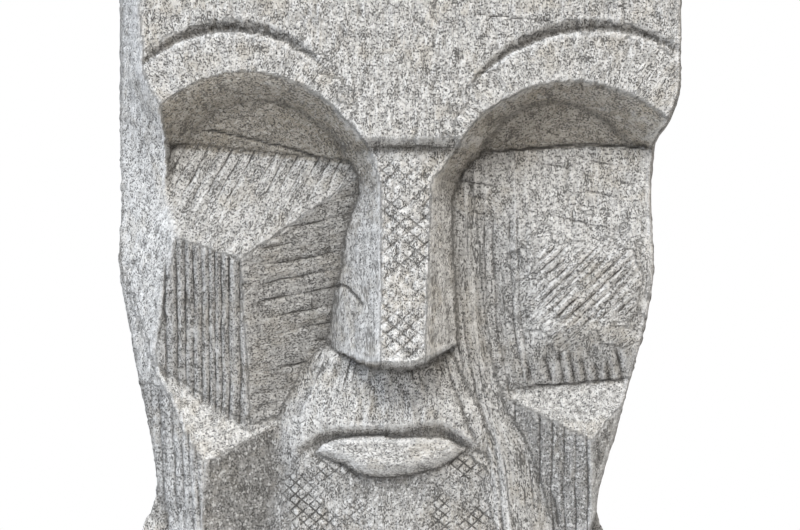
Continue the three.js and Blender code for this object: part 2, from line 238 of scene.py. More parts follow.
# the nose's lower edge: height, middle, half its level part, climb of its wings, rise and undercut
TIP_Z, TIP_MIDDLE, TIP_HALF, TIP_CLIMB, TIP_RISE, TIP_UNDERCUT = 493, -13.5, 35.5, 0.42, 80, 9
FLANK_SLOPE = (1.47, 2.07)  # of the nose's left and right side
FLANK_TO_SOCKET = (690, 800)  # heights between which the nose's sides become the sockets' edges
# the hollow under the upper lip: middle, half width, reach down, depth, and height of its undercut
HOLLOW_MIDDLE, HOLLOW_HALF, HOLLOW_REACH, HOLLOW_DEPTH, UNDERCUT = -8, 150, 125, 17, 11
# the lower lip: middle, half width, rise, lean, fall to its corners, and depth of its rolled edge
LIP_MIDDLE, LIP_HALF, LIP_RISE, LIP_LEAN, LIP_FALL, LIP_ROLL = -14, 114, 18, 0.27, 9, 6
# the dent under the lower lip: depth, distance below the lip's foot, and half height
DENT_DEPTH, DENT_BELOW, DENT_HALF = 6, 30, 13
# the muzzle's middle, its curve across and the slope of its sides; the slope of the fold's sides
MUZZLE_MIDDLE, MUZZLE_CURVE, MUZZLE_SIDE = -5, 0.0011, 0.62
FOLD_SIDE = 0.35
# slopes inwards from the block's front corners, and the heights between which the left one changes
LEFT_CORNER, RIGHT_CORNER, LEFT_CORNER_CHANGE = 1.4, 16, (440, 520)
# under the jaw: rise and height of its edge, its slope, and how far the edge droops at the sides
JAW_RISE, JAW_Z, JAW_SLOPE, JAW_DROOP = 30, 120, 2.2, 0.0009
# the foot: rise, height of its step, the slope above that, and the slope at its corners
FOOT_RISE, FOOT_STEP, FOOT_SLOPE, FOOT_CORNER = -20, 50, 0.8, 1.3
# fillets where forms meet
BROW_FILLET, CRISP, FILLET, JAW_FILLET, FOOT_FILLET, FOLD_FILLET, MUZZLE_FILLET = 2.5, 3, 4, 6, 8, 9, 12


def inside_arch(x, z, centre, half, fall):
    """How far inside an arch a place lies: 0 on its superellipse line, growing inwards, with legs
    that run straight down."""
    across = np.abs((x - centre[0]) / half[0]) ** SOCKET_ROUND
    up = ((np.maximum(z, centre[1]) - centre[1]) / half[1]) ** SOCKET_ROUND
    return (1 - (across + up) ** (1 / SOCKET_ROUND)) * fall


def to_wall(x, z, socket):
    """How far into a socket a place lies: 0 at the brow's arch, 1 where the wall's arch begins."""
    inside = inside_arch(x, z, *socket["brow"])
    short = -inside_arch(x, z, *socket["wall"])
    share = np.where(short > 0, inside / np.maximum(inside + short, 12), 1)
    return np.where(inside > 0, share, 0), np.maximum(inside, 0)


def pyramid(x, z, apex, slopes):
    """Facets that meet in one apex: the lowest of them everywhere."""
    planes = [facet(x, z, apex, slope) for slope in slopes]
    out = planes[0]
    for plane in planes[1:]:
        out = lower(out, plane, CRISP)
    return out, planes


def brow_and_nose(x, z):
    """Forehead leaning back above the brows, the small step over the nose, the nose's flat front with
    its upturned end, and both sockets cut in, down to the flat walls where eyes would be."""
    brow = BROW_RISE - BROW_LEAN * np.maximum(z - BROW_KNEE, 0) - BROW_CURVE * x * x
    bridge = ROOT_RISE + (ROOT_Z - z) * BRIDGE_LEAN - NOSE_CURVE * (x - NOSE_MIDDLE) ** 2
    stepped = higher(brow - STEP_SLOPE * (STEP_Z - z), bridge, FILLET)
    stepped = stepped - STEP_FALL * (STEP_Z - z) * smoothstep(np.abs(x), *BESIDE_NOSE)
    front = np.where(z > STEP_Z, brow, stepped)
    tip = TIP_Z + TIP_CLIMB * np.maximum(np.abs(x - TIP_MIDDLE) - TIP_HALF, 0)
    front = lower(front, TIP_RISE + TIP_UNDERCUT * (z - tip), FILLET)
    wall = np.where(x < 0, facet(x, z, *LEFT_WALL), facet(x, z, *RIGHT_WALL))
    left_share, left_inside = to_wall(x - LEFT_LEG(z), z, LEFT_SOCKET)
    right_share, right_inside = to_wall(x + RIGHT_LEG(z), z, RIGHT_SOCKET)
    (end_x, end_z), lean = SOCKET_END
    past_end = x - end_x - lean * (end_z - z)
    left_share = left_share * smoothstep(past_end, -2, 9)
    share = np.maximum(left_share, right_share)
    under_brow = front * (1 - share) + wall * share
    flank = front - np.maximum(FLANK_SLOPE[0] * left_inside, FLANK_SLOPE[1] * right_inside)
    high = smoothstep(z, *FLANK_TO_SOCKET)
    return flank * (1 - high) + under_brow * high, share


def muzzle(x, z):
    """A rounded face between the cheeks. The upper lip is its undercut edge, and the lower lip stands
    in the hollow below that edge as a leaning almond."""
    across = np.clip(np.abs(x - HOLLOW_MIDDLE) / HOLLOW_HALF, 0, 1)
    below_edge = LIP_EDGE(x) - z
    down = np.clip(below_edge / np.maximum(HOLLOW_REACH * (1 - across**2), 6), 0, 1)
    hollow = HOLLOW_DEPTH * (1 - across**6) * np.clip(below_edge / UNDERCUT, 0, 1)
    hollow = hollow * (1 - smoothstep(down, 0.35, 1))
    rise = MUZZLE_RISE(z) - hollow

    along = np.abs(x - LIP_MIDDLE) / LIP_HALF
    up_lip = z - LIP_BOTTOM(x) - 10
    rolled = (1 - np.clip(up_lip / 12, -1, 1)) ** 2
    lip = LIP_RISE - LIP_LEAN * np.maximum(up_lip, -8) - LIP_FALL * along**2 - 2 * np.maximum(-12 - up_lip, 0)
    lip = np.minimum(lip - LIP_ROLL * rolled, lip + 3 * (LIP_TOP(x) - z))
    lip = np.where(along < 1, lip, -200)
    dent = np.exp(-(((up_lip + DENT_BELOW) / DENT_HALF) ** 2)) * np.clip(1 - along**2, 0, 1)
    rise = rise - DENT_DEPTH * dent
    on_lip = smoothstep(lip - rise, -1, 2)
    rise = higher(rise, lip, CRISP)

    beyond = np.maximum(np.maximum(MUZZLE_LEFT(z) - x, x - MUZZLE_RIGHT(z)), 0)
    rise = rise - MUZZLE_CURVE * (x - MUZZLE_MIDDLE) ** 2 - MUZZLE_SIDE * beyond
    return rise, on_lip, smoothstep(hollow, 1, 8) * (1 - on_lip)


def left_chamfer(x, z):
    """Plain at the jaw; above it ruled between the block's corner and the temple's line."""
    edge = np.where(z < JAW_CORNER_TOP[0], JAW_LEFT(z), LEFT_EDGE(z))
    plain = CORNER_RISE + LEFT_CORNER * (x + edge)
    share = (x + edge) / np.maximum(edge - TEMPLE_LINE(z), 12)
    ruled = CORNER_RISE + (TEMPLE_RISE(z) - CORNER_RISE) * share
    upper = smoothstep(z, *LEFT_CORNER_CHANGE)
    return plain * (1 - upper) + ruled * upper


def eyebrow_cut(x, z):
    """Two arcs cut with a gouge held low: they slope in from above and stop at a crisp lower edge."""
    cut = np.zeros_like(x)
    for centre, radius, start, end in EYEBROWS:
        outside = np.hypot(x - centre[0], z - centre[1]) - radius
        angle = np.degrees(np.arctan2(z - centre[1], x - centre[0]))
        along = np.clip((angle - start) / (end - start), 0, 1)
        half = EYEBROW_HALF * np.sqrt(np.sin(np.pi * along)) + 1e-3
        lip = EYEBROW_LIP * half
        depth = np.where(outside > lip - half, (half - outside) / (2 * half - lip), (outside + half) / lip)
        cut = np.maximum(cut, np.clip(depth, 0, 1) * half * EYEBROW_DEPTH)
    return cut


def face(x, z):
    """How far the stone stands in front of the face plane, and which form each place belongs to. The
    highest form wins below the brows; then the corners, the jaw's underside and the foot trim it."""
    upper, into_socket = brow_and_nose(x, z)
    cheek, (cheek_top, cheek_outer, cheek_inner) = pyramid(x, z, *LEFT_CHEEK)
    jaw, (ledge, jaw_outer, jaw_inner) = pyramid(x, z, *LEFT_JAW)
    right_jaw, (right_ledge, right_jaw_outer, right_jaw_inner) = pyramid(x, z, *RIGHT_JAW)
    right_cheek = facet(x, z, *RIGHT_CHEEK[0][:2])
    for at, slope, blend in RIGHT_CHEEK[1:]:
        right_cheek = lower(right_cheek, facet(x, z, at, slope), blend)
    fold = FOLD_RISE(z) - FOLD_SIDE * np.abs(x - FOLD_PATH(z))
    mouth, on_lip, in_hollow = muzzle(x, z)

    below = cheek
    for form in (jaw, right_cheek, right_jaw):
        below = higher(below, form, CRISP)
    below = higher(below, fold, FOLD_FILLET)
    below = higher(below, mouth, MUZZLE_FILLET)
    at_temple = (x < 0) & (z > LEFT_TEMPLE_SPAN[0]) & (z < LEFT_TEMPLE_SPAN[1])
    below = np.where(at_temple, higher(below, facet(x, z, *LEFT_TEMPLE), CRISP), below)
    rise = higher(upper, below, BROW_FILLET)

    chamfer = left_chamfer(x, z)
    right_edge = np.where(z < JAW_CORNER_TOP[1], JAW_RIGHT(z), RIGHT_EDGE(z))
    corner = CORNER_RISE + RIGHT_CORNER * (right_edge - x)
    trimmed = lower(lower(rise, chamfer, FILLET), corner, FILLET)
    trimmed = lower(trimmed, JAW_RISE + JAW_SLOPE * (z - JAW_Z - JAW_DROOP * x * x), JAW_FILLET)
    foot = FOOT_RISE - FOOT_SLOPE * np.maximum(z - FOOT_STEP, 0)
    foot = lower(foot, CORNER_RISE + FOOT_CORNER * (x + LEFT_EDGE(z)), FOOT_FILLET)
    foot = lower(foot, CORNER_RISE + FOOT_CORNER * (RIGHT_EDGE(z) - x), FOOT_FILLET)
    whole = np.maximum(higher(trimmed, foot, FOOT_FILLET), CORNER_RISE)

    def shows(form):
        """1 where the form is the surface itself."""
        return smoothstep(form - whole, -5, -1) * (1 - smoothstep(form - whole, 4, 9))

    def lowest(plane, *others):
        """1 where the plane lies below the others of its pyramid."""
        return smoothstep(np.minimum.reduce(others) - plane, -2, 3)

    on_front = smoothstep(x - LEFT_LEG(z), -43, -37) * (1 - smoothstep(x + RIGHT_LEG(z), 50, 56))
    parts = {
        "chamfer": shows(chamfer),
        "socket": shows(upper) * smoothstep(into_socket, 0.01, 0.07) * smoothstep(z, 720, 790),
        "forehead": shows(upper) * smoothstep(z, 822, 832) * (1 - smoothstep(into_socket, 0, 0.05)),
        "nose_front": shows(upper) * (1 - smoothstep(z, 800, 812)) * on_front,
        "nose_flank": shows(upper) * (1 - smoothstep(z, 740, 800)) * (1 - on_front),
        "cheek_top": shows(cheek) * lowest(cheek_top, cheek_outer, cheek_inner),
        "cheek_outer": shows(cheek) * lowest(cheek_outer, cheek_top, cheek_inner),
        "cheek_inner": shows(cheek) * lowest(cheek_inner, cheek_top, cheek_outer),
        "ledge": shows(jaw) * lowest(ledge, jaw_outer, jaw_inner),
        "jaw_outer": shows(jaw) * lowest(jaw_outer, ledge, jaw_inner),
        "jaw_inner": shows(jaw) * lowest(jaw_inner, ledge, jaw_outer),
        "right_ledge": shows(right_jaw) * lowest(right_ledge, right_jaw_outer, right_jaw_inner),
        "right_jaw": shows(right_jaw) * (1 - lowest(right_ledge, right_jaw_outer, right_jaw_inner)),
        "right_cheek": shows(right_cheek) * smoothstep(x, 60, 90),
        "fold": shows(fold),
        "muzzle": shows(mouth) * (1 - on_lip),
        "lip": shows(mouth) * on_lip,
        "hollow": shows(mouth) * in_hollow,
        "corner": smoothstep(whole - corner, -6, -3),
    }
    low_corner = parts["chamfer"] * (1 - smoothstep(z, 440, 475))
    parts["jaw_outer"] = np.maximum(parts["jaw_outer"], low_corner)
    parts["chamfer"] = parts["chamfer"] - low_corner
    return whole, parts


# ---------------------------------------------------------------- tool marks

# each set of cuts: its pitch, its depth and its direction in degrees from level
PITCH = {
    "cheek": 12.6, "jaw": 12.0, "grooves": 11.4, "teeth": 19.5, "strokes": 15.5, "kerfs": 25.5, "saw": 17.5,
    "faint": 24.0, "streaks": 12.5, "fan": 10.0, "nose": 15.5, "chin": 13.0, "flank": 38.0,
}
DEPTH = {
    "cheek": 4.6, "jaw": 2.8, "grooves": 4.2, "teeth": 7.0, "streaks": 2.4, "nose": 3.6, "chin": 1.4,
    "scratch": 2.6, "brushing": 1.0, "fan": 2.2, "wing": 4.0, "crack": 3.0, "flank": 6.0,
}
WAY = {"grooves": 44, "strokes": 62, "kerfs": 11, "faint": -13, "rising": 41, "falling": -39, "flank": 57}
GROOVE_PATCH = ((268, 604), (92, 84))  # centre and half sizes of the grooved part of the right cheek
SCRATCH_WIDTH = 0.16  # share of the pitch
# how much smoother than the point chisel's work each form is left
SMOOTHER = {
    "socket": 0.35, "nose_flank": 0.6, "right_ledge": 0.6, "lip": 0.5, "ledge": 0.3, "hollow": 0.45,
    "right_jaw": 0.3,
}
# how much darker each form is painted: partly the darker tone of sawn and scraped stone against
# stone that the hammer has bruised, partly painted shade on facets turned away from the light;
# below 0 the left chamfer and ledge get painted light
SAWN_AND_SHADE = {
    "jaw_inner": 1.35, "right_jaw": 1.2, "cheek_outer": 0.65, "cheek_inner": 0.65, "muzzle": 0.25,
    "fold": 0.25, "jaw_outer": 0.6, "right_cheek": 0.3, "nose_flank": 0.1, "socket": 0.15,
    "cheek_top": 0.45, "chamfer": -0.5, "lip": 0.25, "ledge": -0.25, "right_ledge": 0.15,
}
# painted shade in the left socket and on the left nose flank, on top of their sawn tone
SAWN_AND_SHADE_ON_THE_LEFT = {"nose_flank": 0.65, "socket": 0.35}
# how much painted shade darkens the eyebrow cuts
EYEBROW_SHADE = 0.45

def flutes(phase):
    """Round ridges with sharp valleys, 0 on the ridge and -1 in the valley, one per whole phase."""
    return np.sqrt(np.abs(np.sin(np.pi * phase))) - 1


def scratch(phase, width):
    """A narrow V at each whole phase, -1 at its bottom; width is its share of the pitch."""
    off = np.abs(phase - np.round(phase))
    return -np.clip(1 - off / width, 0, 1)


def turned(x, z, degrees):
    """Distance along and across a direction that rises to the right by the angle."""
    c, s = math.cos(math.radians(degrees)), math.sin(math.radians(degrees))
    return x * c + z * s, z * c - x * s


class Cuts:
    """The thin cuts of the face. Where two sets overlap the stronger one's phase and pitch are kept."""

    def __init__(self, like):
        self.phase = np.zeros_like(like)
        self.pitch = np.full_like(like, 10.0)
        self.strength = np.zeros_like(like)
        self.fluted = np.zeros_like(like)

    def lay(self, place, pitch, strength, fluted=0.0):
        """Adds cuts every pitch of place; fluted is how round the ridges between them are."""
        strength = np.clip(strength, 0, 1)
        stronger = strength > self.strength
        self.phase = np.where(stronger, place / pitch, self.phase)
        self.pitch = np.where(stronger, pitch, self.pitch)
        self.fluted = np.where(stronger, strength * fluted, self.fluted)
        self.strength = np.maximum(self.strength, strength)


def near_path(x, z, points, taper=0.0):
    """Distance to a line of straight pieces, and how far from its ends the nearest place is."""
    best = np.full_like(x, 1e6)
    fade = np.zeros_like(x)
    lengths = [math.dist(a, b) for a, b in zip(points, points[1:])]
    whole = sum(lengths)
    before = 0.0
    for (ax, az), (bx, bz), length in zip(points, points[1:], lengths):
        share = np.clip(((x - ax) * (bx - ax) + (z - az) * (bz - az)) / length**2, 0, 1)
        away = np.hypot(x - ax - share * (bx - ax), z - az - share * (bz - az))
        travelled = before + share * length
        end_fade = np.clip(np.minimum(travelled, whole - travelled) / max(taper, 1e-3), 0, 1)
        fade = np.where(away < best, end_fade, fade)
        best = np.minimum(best, away)
        before += length
    return best, fade


def fine_lines(x, z, parts):
    """Single cracks and creases: 1 on the line, falling to 0 a few millimetres off it."""
    out = np.zeros_like(x)
    waver = 1.5 * noise(x / 14, z / 14, 14)
    for points, half, strength, taper in CRACKS:
        away, fade = near_path(x + waver, z + waver, points, taper)
        out = np.maximum(out, strength * fade * np.clip(1 - away / half, 0, 1))
    for socket, from_x, to_x in ((LEFT_SOCKET, -235, -60), (RIGHT_SOCKET, 128, 338)):
        centre, _, _ = socket["wall"]
        away = np.abs(inside_arch(x, z, *socket["wall"]) + waver)
        crease = np.clip(1 - away / 5, 0, 1) * within(x, from_x, to_x, 45) * smoothstep(z, 780, 800)
        out = np.maximum(out, 0.5 * crease * parts["socket"] * (0.6 + 0.6 * noise(x / 20, z / 20, 8)))
    return out


def patch_distance(x, z):
    """Distance from the middle of the grooved patch on the right cheek, ragged, about 1 at its edge."""
    (middle_x, middle_z), (half_x, half_z) = GROOVE_PATCH
    return np.hypot((x - middle_x) / half_x, (z - middle_z) / half_z) + 0.35 * noise(x / 24, z / 24, 2)


def left_flutes(x, z, parts, cuts, wobble):
    """Flutes down the left cheek and jaw, their pitch a little uneven."""
    deep = 0.75 + 0.35 * noise(x / 14, z / 70, 2)
    uneven = 7 * noise(x / 37, 0 * z, 13)
    cheek = parts["cheek_outer"] * smoothstep(x, -372, -352)
    place = x + uneven + 8 * wobble
    height = DEPTH["cheek"] * deep * flutes(place / PITCH["cheek"]) * cheek
    cuts.lay(place, PITCH["cheek"], cheek * (0.68 + 0.6 * noise(x / 11, z / 30, 3)), 1.0)
    place = x + 0.03 * z + uneven + 9 * wobble
    height += DEPTH["jaw"] * deep * flutes(place / PITCH["jaw"]) * parts["jaw_outer"]
    cuts.lay(place, PITCH["jaw"], parts["jaw_outer"] * (0.3 + 0.6 * noise(x / 11, z / 30, 4)), 1.0)
    return height


def right_grooves(x, z, parts, cuts, wobble):
    """Slanted grooves in a ragged patch of the right cheek, and the row of teeth under it."""
    _, across = turned(x, z, WAY["grooves"])
    slanted = (1 - smoothstep(patch_distance(x, z), 0.75, 1.15)) * parts["right_cheek"]
    slanted = slanted * np.clip(0.6 + 0.8 * noise(x / 26, z / 26, 3), 0.1, 1)
    place = across + 12 * wobble + 3 * noise(across / 23, 0 * z, 13)
    height = DEPTH["grooves"] * slanted * flutes(place / PITCH["grooves"])
    strength = slanted * np.clip(0.45 + 0.7 * noise(x / 12, z / 12, 4), 0, 1)
    cuts.lay(place, PITCH["grooves"], strength, 1.0)

    tooth_top = 502 + 20 * noise(x / 19, 0 * z, 5)
    teeth = parts["right_cheek"] * within(z, 468, tooth_top, 12) * within(x, 196, 328, 12)
    place = x + 0.21 * (z - 490) + 9 * noise(x / 46, 0 * z, 6) + 8 * wobble
    height += DEPTH["teeth"] * teeth * flutes(place / PITCH["teeth"])
    cuts.lay(place, PITCH["teeth"], teeth * (0.4 + 0.45 * noise(x / 15, z / 15, 7)), 1.0)
    return height


def thin_cuts(x, z, parts, cuts, wobble):
    """Thin strokes under the left eye, saw cuts beside the nose and down the right jaw, and faint
    ones under the right eye."""
    _, across = turned(x, z, WAY["strokes"])
    strokes = parts["cheek_top"] * smoothstep(z - 0.09 * x, 742, 800) * smoothstep(x, -352, -335)
    strength = strokes * (0.65 + 0.5 * noise(x / 14, z / 50, 4))
    cuts.lay(across + 13 * wobble, PITCH["strokes"], strength, 0.5)
    along, across = turned(x, z, WAY["kerfs"])
    kerf = parts["cheek_inner"] * smoothstep(x, -212, -196) * (0.5 + 0.8 * noise(along / 45, across / 12, 5))
    cuts.lay(across + 18 * wobble, PITCH["kerfs"], kerf)
    saw = parts["right_jaw"] * within(x, 168, 292, 8) * (0.5 + 0.8 * noise(x / 17, z / 90, 6))
    cuts.lay(x + 0.012 * (z - 300) + 10 * wobble, PITCH["saw"], saw, 0.3)
    _, across = turned(x, z, WAY["faint"])
    faint = parts["right_cheek"] * smoothstep(z, 672, 700) * np.clip(1.6 * noise(x / 60, z / 24, 7), 0, 1)
    cuts.lay(across + 20 * wobble, PITCH["faint"], 0.6 * faint)


def long_streaks(x, z, parts, cuts, wobble):
    """Long streaks beside the nose and in the cheek's fold, following it, and where they are."""
    beside = x - FOLD_PATH(z)
    where = parts["fold"] + parts["right_cheek"] * (1 - smoothstep(x, 165, 215)) + 0.3 * parts["right_jaw"]
    where = np.clip(where, 0, 1)
    streak = noise(beside / 6, z / 180, 10) + 0.6 * noise(beside / 14, z / 260, 11)
    strength = where * np.clip(0.05 + 1.1 * noise(beside / 13, z / 75, 12), 0, 0.65)
    cuts.lay(beside + 8 * wobble, PITCH["streaks"], strength, 0.4)
    return DEPTH["streaks"] * where * streak, where


def hatching(x, z, parts, wobble):
    """Two crossing sets of cuts, on the front of the nose and on the chin, and the fields for them."""
    _, rising = turned(x, z, WAY["rising"])
    _, falling = turned(x, z, WAY["falling"])
    nose = parts["nose_front"] * (1 - smoothstep(z, 790, 806)) * smoothstep(z, 496, 506)
    chin_side = within(x, -158, -72, 26) + within(x, 62, 150, 26)
    chin = parts["muzzle"] * (1 - smoothstep(z, 352, 366)) * (0.15 + 0.95 * np.clip(chin_side, 0, 1))
    uneven = np.clip(0.62 + 0.9 * noise(x / 30, z / 30, 8), 0, 1)
    pitch = np.where(nose > 0.02, PITCH["nose"], PITCH["chin"])
    rise_phase = (rising + 9 * wobble) / pitch
    fall_phase = (falling - 9 * wobble) / pitch
    crossed = flutes(rise_phase) + flutes(fall_phase)
    height = DEPTH["nose"] * nose * crossed * (0.6 + 0.6 * noise(x / 18, z / 18, 9))
    height += DEPTH["chin"] * np.clip(chin, 0, 1) * crossed * uneven
    hatch = np.maximum(0.75 * nose * (0.35 + 0.65 * uneven), chin * uneven)
    return height, {"rise_phase": rise_phase, "fall_phase": fall_phase, "hatch": hatch}


def brushing(x, z, parts, cuts, wobble):
    """Fine striations that follow the brows and the nose's flanks, and fan out under the nose."""
    sweep = np.maximum(inside_arch(x, z, *LEFT_SOCKET["brow"]), inside_arch(x, z, *RIGHT_SOCKET["brow"]))
    fine = noise(sweep / 3.6, z / 70 + x / 140, 12)
    height = DEPTH["brushing"] * fine * np.clip(0.5 * parts["socket"] + parts["nose_flank"], 0, 1)
    spread = (x + 2) / (1 + 0.004 * (500 - z))
    fanned = parts["muzzle"] * smoothstep(z, 392, 410)
    height += DEPTH["fan"] * noise(spread / 7, z / 60, 13) * fanned
    strength = fanned * smoothstep(z, 425, 470) * np.clip(1.9 * noise(spread / 9, z / 40, 14), 0, 1)
    cuts.lay(spread + 8 * wobble, PITCH["fan"], strength)
    return height


def tones(x, z, parts, streaked):
    """How coarse the point chisel left each place, and how dark it is painted: partly the darker tone
    of sawn or scraped stone, partly painted shade on facets turned from the light, in the sockets and
    below the lower lip, and painted light where it goes below 0; the muzzle is also painted darker at
    its left side and towards the chin.
    """
    coarse = 1 - sum(share * parts[name] for name, share in SMOOTHER.items())
    sawn_and_shade = sum(share * parts[name] for name, share in SAWN_AND_SHADE.items()) + 0.35 * streaked
    sawn_and_shade += (x < 0) * sum(share * parts[name] for name, share in SAWN_AND_SHADE_ON_THE_LEFT.items())
    muzzle_side = smoothstep(MUZZLE_LEFT(z) - x, -15, 15)
    chin = 1 - smoothstep(z, 330, 370)
    # painted shade in the hollow below the lower lip
    shade_below_lip = within(z - LIP_BOTTOM(x), -38, -6, 12) * (1 - smoothstep(np.abs(x + 18), 50, 95))
    sawn_and_shade += parts["muzzle"] * (0.35 * muzzle_side + 0.6 * chin + 0.5 * shade_below_lip)
    return np.clip(coarse, 0.3, 1), np.clip(sawn_and_shade, -0.5, 1.35)


def tool_marks(x, z, parts):
    """The height that each tool adds to the face, and the fields that its material reads."""
    wobble = 0.18 * noise(x / 60, z / 60, 0) + 0.08 * noise(x / 22, z / 22, 1)
    cuts = Cuts(x)
    height = left_flutes(x, z, parts, cuts, wobble) + right_grooves(x, z, parts, cuts, wobble)
    thin_cuts(x, z, parts, cuts, wobble)
    streaks, streaked = long_streaks(x, z, parts, cuts, wobble)
    crossed, hatch_fields = hatching(x, z, parts, wobble)
    height += streaks + crossed
    height += DEPTH["scratch"] * cuts.strength * (1 - cuts.fluted) * scratch(cuts.phase, SCRATCH_WIDTH)
    height += brushing(x, z, parts, cuts, wobble)
    wing = np.exp(-(((x + 80) / 20) ** 2) - ((z - 556) / 34) ** 2)  # of the nose, below its crease
    height += DEPTH["wing"] * wing * parts["nose_flank"]
    lines = fine_lines(x, z, parts)
    height -= DEPTH["crack"] * lines
    coarse, sawn_and_shade = tones(x, z, parts, streaked)
    return height, {
        "cut_phase": cuts.phase,
        "cut_pitch": cuts.pitch,
        "cut": cuts.strength,
        "fluted": cuts.fluted,
        **hatch_fields,
        "crack": lines,
        "coarse": coarse,
        "sawn_and_shade": sawn_and_shade,
        # painted warm shade in the eye sockets
        "socket_shade": parts["socket"],
    }


def grain_run(x, z, rise, parts):
    """Across and along coordinates of the chisel's small pecks, which follow each form."""
    across, along = x.copy(), climb(z)

    def runs(mask, new_across, new_along):
        nonlocal across, along
        across = np.where(mask > 0.5, new_across, across)
        along = np.where(mask > 0.5, new_along, along)

    for socket, (arc_centre, arc_radius, _, _) in zip((LEFT_SOCKET, RIGHT_SOCKET), EYEBROWS):
        centre, half, _ = socket["brow"]
        sweep = inside_arch(x, z, *socket["brow"])
        angle = np.arctan2(x - centre[0], z - centre[1]) * half[0]
        ragged = arc_radius - 16 * noise(x / 13, z / 13, 6)
        in_arc = np.hypot(x - arc_centre[0], z - arc_centre[1]) < ragged
        runs(parts["forehead"] * in_arc, angle, sweep)
        runs(np.clip(parts["socket"] + parts["nose_flank"], 0, 1) * (x * centre[0] > 0), sweep, angle * 0.75)
    slanted = turned(x, z, WAY["strokes"])
    runs(parts["cheek_top"], slanted[1], slanted[0])
    slanted = turned(x + 0.85 * rise, climb(z), WAY["strokes"])
    runs(parts["chamfer"], slanted[1], slanted[0])
    runs(parts["corner"], x - rise, climb(z))
    slanted = turned(x, z, WAY["kerfs"])
    runs(parts["cheek_inner"], slanted[1], slanted[0])
    slanted = turned(x, z, WAY["grooves"])
    runs(parts["right_cheek"] * (patch_distance(x, z) < 1.1), slanted[1], slanted[0])
    runs(parts["fold"], x - FOLD_PATH(z), z * 0.5)
    runs(parts["lip"], z, x)
    runs(np.maximum(parts["ledge"], parts["right_ledge"]), x, z * 2.2)
    return across, along


def pecking(u, v, coarse):
    """The point chisel's pecks: noise drawn out along v, in three sizes, with deep pits where the
    finest runs low."""
    big = noise(u / 17, v / 38, 3)
    middle = noise(u / 8.5, v / 22, 4)
    small = noise(u / 4.6, v / 9, 5)
    pits = np.clip(noise(u / 6.0, v / 11, 6) - 0.45, 0, 1)
    pits = pits * np.clip(0.9 + 0.9 * noise(u / 45, v / 60, 7), 0.2, 1.6)
    return coarse * (1.1 * big + 0.9 * middle + 0.45 * small - 5.0 * pits)


# ---------------------------------------------------------------- the mesh

FACE_COLUMNS = 262
FLANK_COLUMNS = 96
EVEN_POWER = SIDE_SQUARENESS / 2  # spaces the columns of a superellipse about evenly
FLANK_STEP = 3  # the sides and back use every third row
ROW_BANDS = ((0, 240, 27), (240, 1038, 264), (1038, 1166, 12), (1166, 1276, 15))
CAP_SCALES = (0.985, 0.93, 0.84, 0.72, 0.55, 0.35, 0.16)
CAVITY_REACH = 3  # rows and columns
CAVITY_DEPTH = 2.6  # a place this far below its surroundings gets the full painted shade of a hollow
BACK_SPARE = 6.0  # how far the back's rough surface may pass the block's own
SIDE_GRAIN = (0.9, 1.8)  # the pecks on the sides are this much finer across and along
ELSEWHERE = {"coarse": 1, "sawn_and_shade": 0.2, "cut_pitch": 10}  # fields off the face; the others are 0 there


def row_heights():
    """Heights of the rows, evenly spaced in each band."""
    parts = [np.linspace(low, high, rows, endpoint=False) for low, high, rows in ROW_BANDS]
    return np.concatenate(parts + [[ROW_BANDS[-1][1]]])


def corner_chips(z):
    """How far small chips move the block's front corners outwards at each height."""
    nibble = 1.1 * noise(z / 13, z / 50, 8) + 1.2 * noise(z / 4.5, z / 50, 9)
    chip = 9 * np.clip(noise(z / 24, z / 90, 10) - 0.55, 0, 1)
    return (nibble - chip) * smoothstep(z, 20, 60)


def top_inset(z):
    """How far the rounded top edge draws the outline in: a quarter circle."""
    up = np.clip(z - (HEIGHT - CROWN - TOP_ROUND), 0, TOP_ROUND)
    return TOP_ROUND - np.sqrt(TOP_ROUND**2 - up**2)


def climb(z):
    """Distance up the surface: the height, and on the rounded top edge the length of its arc."""
    up = np.clip(z - (HEIGHT - CROWN - TOP_ROUND), 0, TOP_ROUND)
    return z - up + TOP_ROUND * np.arcsin(up / TOP_ROUND)


def face_surface(z_rows):
    """The face as a grid of points: columns from the left front corner to the right one, rows up. The
    forms are looked up a little off each place, so that their edges run as uneven as worked stone."""
    share, z = np.meshgrid(np.linspace(0, 1, FACE_COLUMNS + 1), z_rows)
    left, right = LEFT_EDGE(z), RIGHT_EDGE(z)
    x = -left + (left + right) * share
    chips = corner_chips(z)
    near = 1 - smoothstep(share, 0, 0.05)
    x = x - chips * near + chips[::-1] * near[:, ::-1]
    from_edge = np.minimum(share, 1 - share) * (left + right)
    inner = np.clip((from_edge - 9) / 12, 0, 1)
    off_x = inner * (1.4 * noise(x / 13, z / 13, 0) + 0.9 * noise(x / 6, z / 6, 1))
    off_z = inner * (1.4 * noise(x / 13, z / 13, 2) + 0.9 * noise(x / 6, z / 6, 3))
    rise, parts = face(x + off_x, z + off_z)
    inset = top_inset(z)
    half = (left + right) / 2
    y = -(FACE_PLANE + rise - inset)
    return np.stack([x * (1 - inset / half), y, z], -1), x, z, rise, parts


